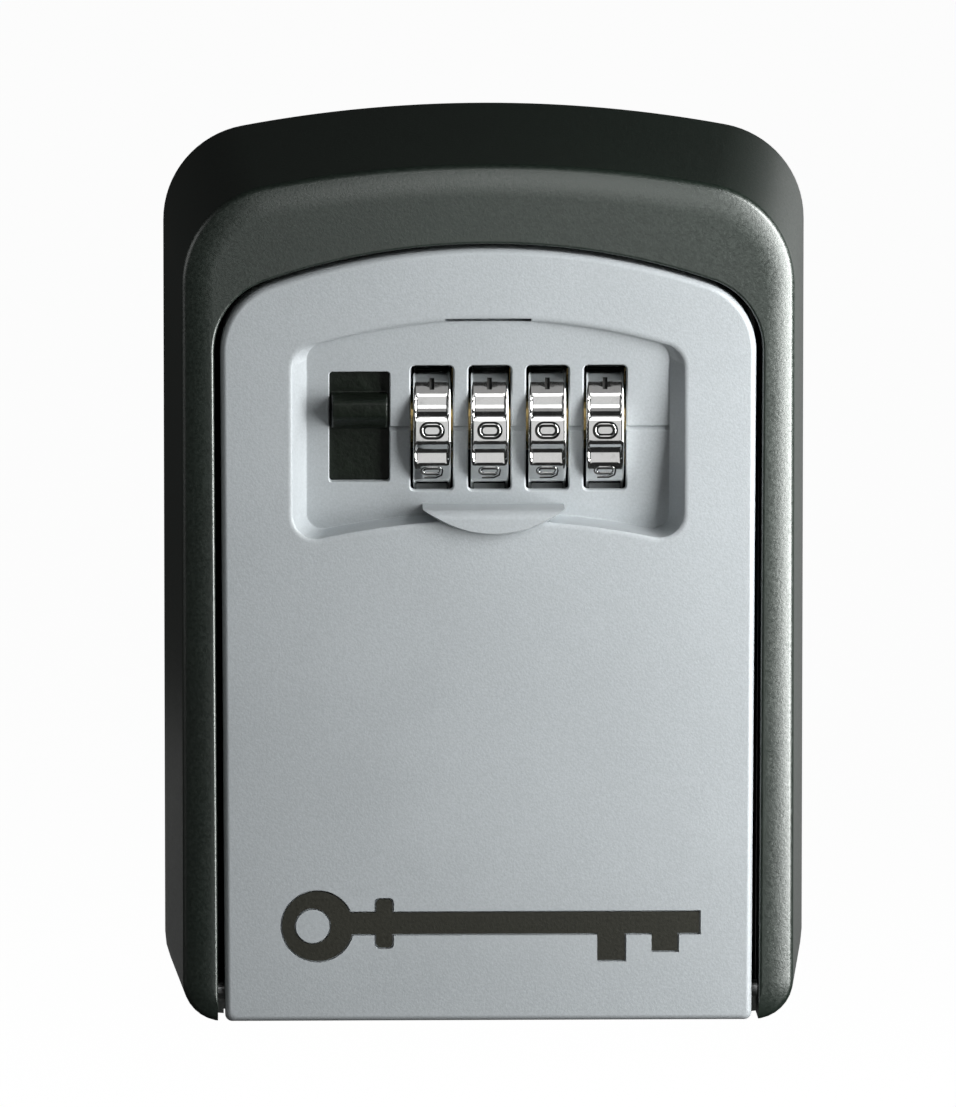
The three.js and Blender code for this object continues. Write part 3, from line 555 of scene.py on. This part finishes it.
def lip_ring(depth, shrink):
    """Outline of the finger pull: level above and bowed below."""
    rise = LIP_TOP - LIP_BOTTOM - shrink
    half = LIP_HALF - 1.5 * shrink
    radius = (half ** 2 + rise ** 2) / (2 * rise)
    spread = math.asin(half / radius)
    centre = LIP_TOP - 0.75 * shrink - rise + radius
    return at(arc(LIP_X, centre, radius, -math.pi / 2 - spread, -math.pi / 2 + spread, 40), depth)


def finger_pull():
    reach = DOOR_D[1] - FRONT
    limit = 0.48 * math.pi
    rings = [lip_ring(floor_depth(LIP_TOP) - 1, 0)]
    for i in range(11):
        a = limit * i / 10
        depth = FRONT + reach * math.sin(a) / math.sin(limit)
        rings.append(lip_ring(depth, LIP_ROUNDING * (1 - math.cos(a))))
    return loft("finger_pull", rings)


def key_parts(grow):
    """Outlines of the key symbol on the door: bow, blade with bits, and collar."""
    bow = arc(-22, -43.2, 4.6 + grow, 0, TURN, 64)[1:]
    blade = [
        (-20, -44.3 - grow), (14, -44.3 - grow), (14, -47.8 - grow), (17.6 + grow, -47.8 - grow),
        (17.6 + grow, -44.3 - grow), (21, -44.3 - grow), (21, -46.6 - grow), (24.4 + grow, -46.6 - grow),
        (24.4 + grow, -44.3 - grow), (27.2 + grow, -44.3 - grow), (27.2 + grow, -41.4 + grow),
        (-20, -41.4 + grow),
    ]
    collar = rounded_rect(1.1 + grow, 3.2 + grow, 0.6, -13.4, -42.85)
    return [bow, blade, collar]


def key_solid(name, grow, rear, front):
    bow, blade, collar = (prism(name, part, rear, front) for part in key_parts(grow))
    boolean(bow, [blade, collar], "UNION")
    hole = revolve_y("hole", [(rear - 1, 2.3 - grow), (front + 1, 2.3 - grow)], -22.6, -43.2)
    return boolean(bow, [hole])


def door_hollow():
    """Space behind the door's skin, inside its rim."""
    section = [
        (DOOR_RIM_D - 1, DOOR["top"] - RIM), (SKIN_REAR, DOOR["top"] - RIM),
        (floor_depth(FLOOR_TOP_Z) - 2, FLOOR_TOP_Z), (floor_depth(4.6) - 2, 4.6),
        (SKIN_REAR, POCKET_SHELF), (SKIN_REAR, POCKET_BOTTOM), (DOOR_RIM_D - 1, POCKET_BOTTOM),
    ]
    hollow = bar_x("hollow", section, -DOOR["half"], DOOR["half"])
    outline = tapered(arched(grown(DOOR, -RIM), POCKET_BOTTOM, 2), DOOR["top"])
    return boolean(hollow, [prism("outline", outline, 20, FRONT)], "INTERSECT")


def make_door():
    rings = [door_ring(DOOR_RIM_D, 0.3), door_ring(DOOR_RIM_D + 0.3, 0)]
    for a in quarter(7):
        rings.append(door_ring(FRONT - DOOR_EDGE * (1 - math.sin(a)), DOOR_EDGE * (1 - math.cos(a))))
    door = loft("door_skin", rings)
    boolean(door, [door_hollow()])
    buried = SKIN_REAR + 0.5
    extras = [revolve_x("barrel", [(-33.6, 2.5), (-33.3, 2.9), (33.3, 2.9), (33.6, 2.5)], HINGE_D, HINGE_Z)]
    extras += [revolve_y("post", [(22.3, 2.1), (22.5, 2.3), (buried, 2.5)], x, z) for x, z in POSTS]
    guide = [(19.6, 1.0), (19.9, 1.2), (buried, 1.2)]
    extras += [revolve_y("guide", guide, x, z, 32) for x, z in GUIDE_POSTS]
    boolean(door, extras, "UNION")
    cutters = [
        recess_cut(),
        hole_cut("window", WINDOW, 0.4, SLIDER_X, WINDOW_Z, WINDOW_BRINK),
        onto_floor(block("runway", (SLIDER_X - 5.4, SLIDER_X + 5.4), (-4, -0.9), (-13.2, 13.2)), WINDOW_Z),
        onto_floor(bar_x("groove", GROOVE, SLIDER_X, GROOVE_END), AXIS_Z),
        block("slit", (-SLIT_HALF, SLIT_HALF), (floor_depth(35) - SLIT_DEPTH, FRONT + 2), SLIT_Z),
        revolve_x("discs", [(-11.5, 6.75), (20.5, 6.75)], AXIS_D, AXIS_Z),
        revolve_x("hinge_bore", [(-40, 1.17), (40, 1.17)], HINGE_D, HINGE_Z, 32),
    ]
    for x in DIAL_X:
        sides = x - SLOT[0] / 2, x + SLOT[0] / 2
        cutters.append(hole_cut("slot", SLOT, 0.6, x, AXIS_Z, SLOT_BRINK))
        cutters.append(revolve_x("relief", [(side, 10.2) for side in sides], AXIS_D, AXIS_Z, 96))
    cutters += [revolve_y("pilot", [(21.3, 1.15), (28.6, 1.15)], x, z, 32) for x, z in POSTS]
    boolean(door, cutters)
    boolean(door, [key_solid("key_pocket", 0.15, FRONT - 0.5, FRONT + 1)])
    boolean(door, [finger_pull()], "UNION")
    dress(door, PANEL)
    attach(door, "door")
    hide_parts("door_panel")

    inlay = key_solid("key_inlay", -0.05, FRONT - 0.47, FRONT - 0.12)
    dress(inlay, INLAY)
    soften(inlay, 0.00008)
    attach(inlay, "door")
    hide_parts("key_emblem")


def soften(obj, width, segments=2):
    """Rounds the sharp edges of a piece a little, so that they catch the light."""
    modifier = obj.modifiers.new("soft edges", "BEVEL")
    modifier.width = width
    modifier.segments = segments
    modifier.limit_method = "ANGLE"
    modifier.angle_limit = math.radians(35)
    modifier.harden_normals = True
    return modifier


# ---- dials ----

PAD = math.radians(20)
PITCH = TURN / 10
RIM_DIP = 0.1
SCALLOP_DIP = 0.55
SCALLOP_EDGE = 0.3
SCALLOP_RAMP = 0.2


def dial_radius(angle, x):
    """Radius of a dial: round digit pads, and scallops between them that stop short of both rims."""
    phase = (angle + PITCH / 2) % PITCH - PITCH / 2
    half = PAD / 2
    if abs(phase) <= half:
        return DIAL_R
    share = (abs(phase) - half) / (PITCH / 2 - half)
    rim = DIAL_R - RIM_DIP * math.sin(share * math.pi / 2)
    dip = DIAL_R - SCALLOP_DIP * (1 - (1 - share) ** 2)
    side = DIAL_W / 2 - abs(x)
    blend = min(max((side - SCALLOP_EDGE) / SCALLOP_RAMP, 0), 1)
    return lerp(rim, dip, blend * blend * (3 - 2 * blend))


DIGIT_HALF = (1.3, 0.85)
GROOVE_R = {0: 0.38, 1: 0.31}
FINE_GROOVE_R = 0.28
RIDGE_R = 0.15
RIDGE_SINK = 0.22


def oval(centre, half_x, half_z):
    """Closed stroke with round ends."""
    points = rounded_rect(half_x, half_z, min(half_x, half_z) * 0.95, 0, centre, steps=6)
    return points + points[:1]


def bent(*points):
    """Open stroke, drawn on a grid that runs from -1 to 1 each way."""
    return [(x * DIGIT_HALF[0], z * DIGIT_HALF[1]) for x, z in points]


DIGITS = [
    [oval(0, 1.27, 0.8)],
    [bent((0, 1), (0, -1))],
    [bent(
        (-0.9, 0.55), (-0.6, 0.95), (0.6, 0.95), (0.9, 0.5), (0.7, 0.1), (-0.9, -0.95), (0.95, -0.95)
    )],
    [bent(
        (-0.85, 0.95), (0.6, 0.95), (0.9, 0.5), (0.5, 0.05), (0.9, -0.45), (0.6, -0.95), (-0.85, -0.95)
    )],
    [bent((0.4, 0.95), (-0.95, -0.4), (0.95, -0.4)), bent((0.45, 0.3), (0.45, -1))],
    [bent(
        (0.85, 0.95), (-0.8, 0.95), (-0.8, 0.15), (0.6, 0.15), (0.9, -0.4), (0.6, -0.95), (-0.9, -0.95)
    )],
    [oval(-0.36, 1.2, 0.5), bent((-0.9, -0.3), (-0.85, 0.45), (-0.35, 0.95), (0.75, 0.95))],
    [bent((-0.9, 0.95), (0.9, 0.95), (-0.2, -1))],
    [
        oval(-0.4, 1.15, 0.45),
        bent((-0.7, 0.02), (-0.8, 0.55), (-0.5, 0.97), (0.5, 0.97), (0.8, 0.55), (0.7, 0.02)),
    ],
    [oval(0.36, 1.2, 0.5), bent((0.9, 0.3), (0.85, -0.45), (0.35, -0.95), (-0.75, -0.95))],
]


def stroke_bar(points, radius, depth, material):
    """Round bar that follows one stroke of a digit around the front of a dial."""
    closed = points[0] == points[-1]
    if closed:
        points = points[:-1]
    curve = bpy.data.curves.new("stroke", "CURVE")
    curve.dimensions = "3D"
    curve.bevel_depth = radius
    curve.bevel_resolution = 3
    curve.use_fill_caps = True
    spline = curve.splines.new("POLY")
    spline.points.add(len(points) - 1)
    spline.use_cyclic_u = closed
    for point, (x, z) in zip(spline.points, points):
        point.co = (x, -math.sqrt(depth ** 2 - z ** 2), z, 1)
    holder = bpy.data.objects.new("stroke", curve)
    bpy.context.collection.objects.link(holder)
    graph = bpy.context.evaluated_depsgraph_get()
    mesh = bpy.data.meshes.new_from_object(holder.evaluated_get(graph))
    bpy.data.objects.remove(holder)
    bpy.data.curves.remove(curve)
    bm = bmesh.new()
    bm.from_mesh(mesh)
    bmesh.ops.remove_doubles(bm, verts=bm.verts, dist=0.0005)
    bmesh.ops.recalc_face_normals(bm, faces=bm.faces)
    bm.to_mesh(mesh)
    bm.free()
    mesh.materials.clear()
    mesh.materials.append(material)
    return finish_mesh("stroke", mesh)


def engrave(dial, digit):
    """Cuts an inked outline of a digit and leaves a thin plated ridge along its strokes."""
    turn = Matrix.Rotation(-digit * PITCH, 4, "X")
    for stroke in DIGITS[digit]:
        groove = stroke_bar(stroke, GROOVE_R.get(digit, FINE_GROOVE_R), DIAL_R + 0.02, DIGIT_INK)
        groove.data.transform(turn)
        boolean(dial, [groove])
    if digit == 1:
        return
    for stroke in DIGITS[digit]:
        ridge = stroke_bar(stroke, RIDGE_R, DIAL_R - RIDGE_SINK, CHROME)
        ridge.data.transform(turn)
        boolean(dial, [ridge], "UNION")


DIAL_BORE = 4.3
DIAL_EDGE = 0.25
DIAL_STEPS = [0, 0.04, 0.12, 0.25, 0.4, 0.47, 0.55, 0.62, 0.8]


def make_dial_mesh():
    """One dial about the X axis, engraved with ten digits."""
    half = DIAL_W / 2
    angles = []
    for pad in range(10):
        centre = pad * PITCH
        angles += [centre + PAD * (k / 6 - 0.5) for k in range(7)]
        angles += [centre + PAD / 2 + (PITCH - PAD) * k / 10 for k in range(1, 10)]
    xs = [step - half for step in DIAL_STEPS]
    xs = xs + [0] + [-x for x in reversed(xs)]
    rings = [[(-half, DIAL_BORE * math.cos(a), DIAL_BORE * math.sin(a)) for a in angles]]
    for x in xs:
        edge = max(0, DIAL_EDGE - (half - abs(x)))
        drop = DIAL_EDGE - math.sqrt(max(DIAL_EDGE ** 2 - edge ** 2, 0))
        radii = [dial_radius(a, x) - drop for a in angles]
        rings.append([(x, r * math.cos(a), r * math.sin(a)) for r, a in zip(radii, angles)])
    rings.append([(half, DIAL_BORE * math.cos(a), DIAL_BORE * math.sin(a)) for a in angles])
    dial = loft("dial", rings, closed=True)
    dial.data.materials.append(CHROME)
    for digit in range(10):
        engrave(dial, digit)
    return dial


def make_dials():
    master = make_dial_mesh()
    inked = {number for number, slot in enumerate(master.material_slots) if slot.material == DIGIT_INK}
    marks = [polygon.material_index in inked for polygon in master.data.polygons]
    for number, x in enumerate(DIAL_X, 1):
        mesh = master.data.copy()
        mesh.transform(Matrix.Translation((x, -AXIS_D, AXIS_Z)))
        dial = finish_mesh(f"number_dial_{number}", mesh)
        dress(dial, CHROME, DIGIT_INK, angle=40)
        for polygon, mark in zip(mesh.polygons, marks):
            polygon.material_index = 1 if mark else 0
        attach(dial, f"dial_{number}")
        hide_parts(f"dial_{number}")
    bpy.data.objects.remove(master)


# ---- release slider ----

PLATE_DEPTH = (-1.05, -2.35)
RIDGE_HALF = 3.55
RIDGE_FACE = [
    (0.2, -0.1), (1.6, 1.0), (2.5, 1.75), (2.78, 2.1), (2.9, 2.4), (2.9, 3.8), (2.8, 4.1), (2.5, 4.3),
]


def make_slider():
    front, rear = PLATE_DEPTH
    root = front - 0.5
    plate = block("slider_button", (SLIDER_X - 5.1, SLIDER_X + 5.1), (rear, front), (-8.2, 12.7))
    section = [(root, -0.4), *RIDGE_FACE, (root, 4.3)]
    ridge = bar_x("ridge", section, SLIDER_X - RIDGE_HALF, SLIDER_X + RIDGE_HALF)
    tail_rear = AXIS_D - 1.5 - floor_depth(WINDOW_Z)
    tail = block("tail", (SLIDER_X - 2.5, SLIDER_X + 0.5), (tail_rear, rear + 0.3), (-0.5, 2.3))
    boolean(plate, [ridge, tail], "UNION")
    onto_floor(plate, WINDOW_Z)
    dress(plate, PLASTIC, weighted=False)
    soften(plate, 0.00022, 3)
    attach(plate, "slider")
    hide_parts("release_slider")


make_housing()
make_door()
make_dials()
make_slider()


# ---- CAD nodes that keep their own shape, with the width of their softened edges in metres ----

KEPT = {
    "hinge_pin": (STEEL, 0.0001),
    "mechanism_cover": (COVER, 0.00025),
    "dial_shaft": (STEEL, 0.0002),
    "shaft_clip": (STEEL, 0.00008),
    "shaft_spring": (WIRE, 0),
    "detent_spring": (WIRE, 0.00008),
    "reset_lever": (STEEL, 0.00012),
    "latch_plate": (STEEL, 0.00015),
    "latch_clip_1": (STEEL, 0.00008),
    "latch_clip_2": (STEEL, 0.00008),
}
KEPT.update({f"cover_screw_{i}": (STEEL, 0.00012) for i in range(1, 5)})
KEPT.update({f"code_sleeve_{i}": (BRASS, 0.0001) for i in range(1, 5)})
for node, (material, width) in KEPT.items():
    obj = NODES[node]
    for slot in obj.material_slots:
        slot.material = material
    if width:
        soften(obj, width)


# ---- latch spring, copied from the CAD node and carried by the door ----


def make_latch_spring():
    source = NODES["latch_spring"]
    spring = finish_mesh("latch_return_spring", source.data.copy())
    spring.matrix_world = source.matrix_world.copy()
    spring.data.materials.clear()
    spring.data.materials.append(WIRE)
    spring.data.shade_smooth()
    spring.data.set_sharp_from_angle(angle=math.radians(50))
    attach(spring, "door")
    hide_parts("latch_spring")
    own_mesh(spring)


make_latch_spring()


# ---- stage, light and camera ----

def stage_material(name, base, roughness):
    material, shader = principled(
        name, base, roughness, Emission_Color=(1, 1, 1, 1), Emission_Strength=0.95
    )
    tone = noise_texture(material, coordinates(material), 3, 2)
    low = tuple(c * 0.995 for c in base)
    link(material, ramp(material, tone, [(0.3, low), (0.7, base)]), shader.inputs["Base Color"])
    return material


FLOOR_Z = -0.3


def make_stage():
    """Pale floor that curves up into a wall, far enough off for a camera behind the box."""
    reach, radius, extent = 4.2, 0.8, 6
    profile = [(-extent, FLOOR_Z), (reach, FLOOR_Z)]
    profile += [
        (reach + radius * math.sin(a), FLOOR_Z + radius * (1 - math.cos(a))) for a in quarter(16)[1:]
    ]
    profile.append((reach + radius, extent))
    verts = [(x, y, z) for x in (-extent, extent) for y, z in profile]
    count = len(profile)
    mesh = bpy.data.meshes.new("backdrop")
    mesh.from_pydata(verts, [], [(i, i + 1, count + i + 1, count + i) for i in range(count - 1)])
    mesh.materials.append(stage_material("pale_floor", (0.9, 0.9, 0.9), 0.8))
    mesh.shade_smooth()
    backdrop = finish_mesh("backdrop", mesh)
    backdrop.visible_diffuse = False
    backdrop.visible_glossy = False


def area_light(name, place, target, size, power, colour=(1, 1, 1)):
    data = bpy.data.lights.new(name, "AREA")
    data.shape = "RECTANGLE"
    data.size, data.size_y = size
    data.energy = power
    data.color = colour
    obj = bpy.data.objects.new(name, data)
    bpy.context.collection.objects.link(obj)
    obj.location = place
    obj.rotation_euler = (Vector(target) - Vector(place)).to_track_quat("-Z", "Y").to_euler()
    obj.visible_camera = False
    return obj


def make_lights():
    area_light("key", (0.17, -0.138, 0.045), (0.0, -0.04, 0.01), (0.10, 0.26), 1.12)
    area_light("dial_low", (0.012, -0.38, -0.07), (0.005, -0.03, -0.07), (0.06, 0.317), 0.045)
    area_light("dial_high", (0.012, -0.33, 0.152), (0.005, -0.03, 0.12), (0.08, 0.147), 0.08)
    area_light("dial_top", (0.012, -0.33, 0.36), (0.005, -0.03, 0.33), (0.08, 0.27), 0.022)
    area_light("rear_right", (0.17, 0.42, 0.0), (0.02, 0.0, 0.0), (0.2, 0.3), 0.07)
    area_light("back_fill", (0.75, 0.75, 0.1), (0.0, 0.0, 0.0), (0.5, 0.5), 1.0)
    area_light("rear_left", (-0.11, 0.36, -0.12), (-0.03, 0.0, -0.04), (0.08, 0.06), 0.004)
    area_light("left", (-0.5, -0.1, 0.12), (0.0, -0.03, 0.0), (0.3, 0.3), 0.25)
    world = bpy.data.worlds.new("studio")
    bpy.context.scene.world = world
    world.use_nodes = True
    background = world.node_tree.nodes["Background"]
    background.inputs["Color"].default_value = (0.97, 1.0, 0.98, 1)
    background.inputs["Strength"].default_value = 0.024


def make_camera():
    azimuth, elevation = math.radians(-1.1), math.radians(10)
    distance = 2.6
    frame_height = 0.1438
    level = math.cos(elevation)
    out = Vector((math.sin(azimuth) * level, -math.cos(azimuth) * level, math.sin(elevation)))
    right = Vector((math.cos(azimuth), math.sin(azimuth), 0))
    up = right.cross(-out)
    target = right * -0.00071 + up * -0.0003
    data = bpy.data.cameras.new("camera")
    data.lens = 36 * distance / frame_height
    data.clip_end = 50
    camera = bpy.data.objects.new("camera", data)
    bpy.context.collection.objects.link(camera)
    camera.location = target + out * distance
    camera.rotation_euler = (-out).to_track_quat("-Z", "Y").to_euler()
    bpy.context.scene.camera = camera


make_stage()
make_lights()
make_camera()
bpy.context.scene.view_settings.view_transform = "Standard"
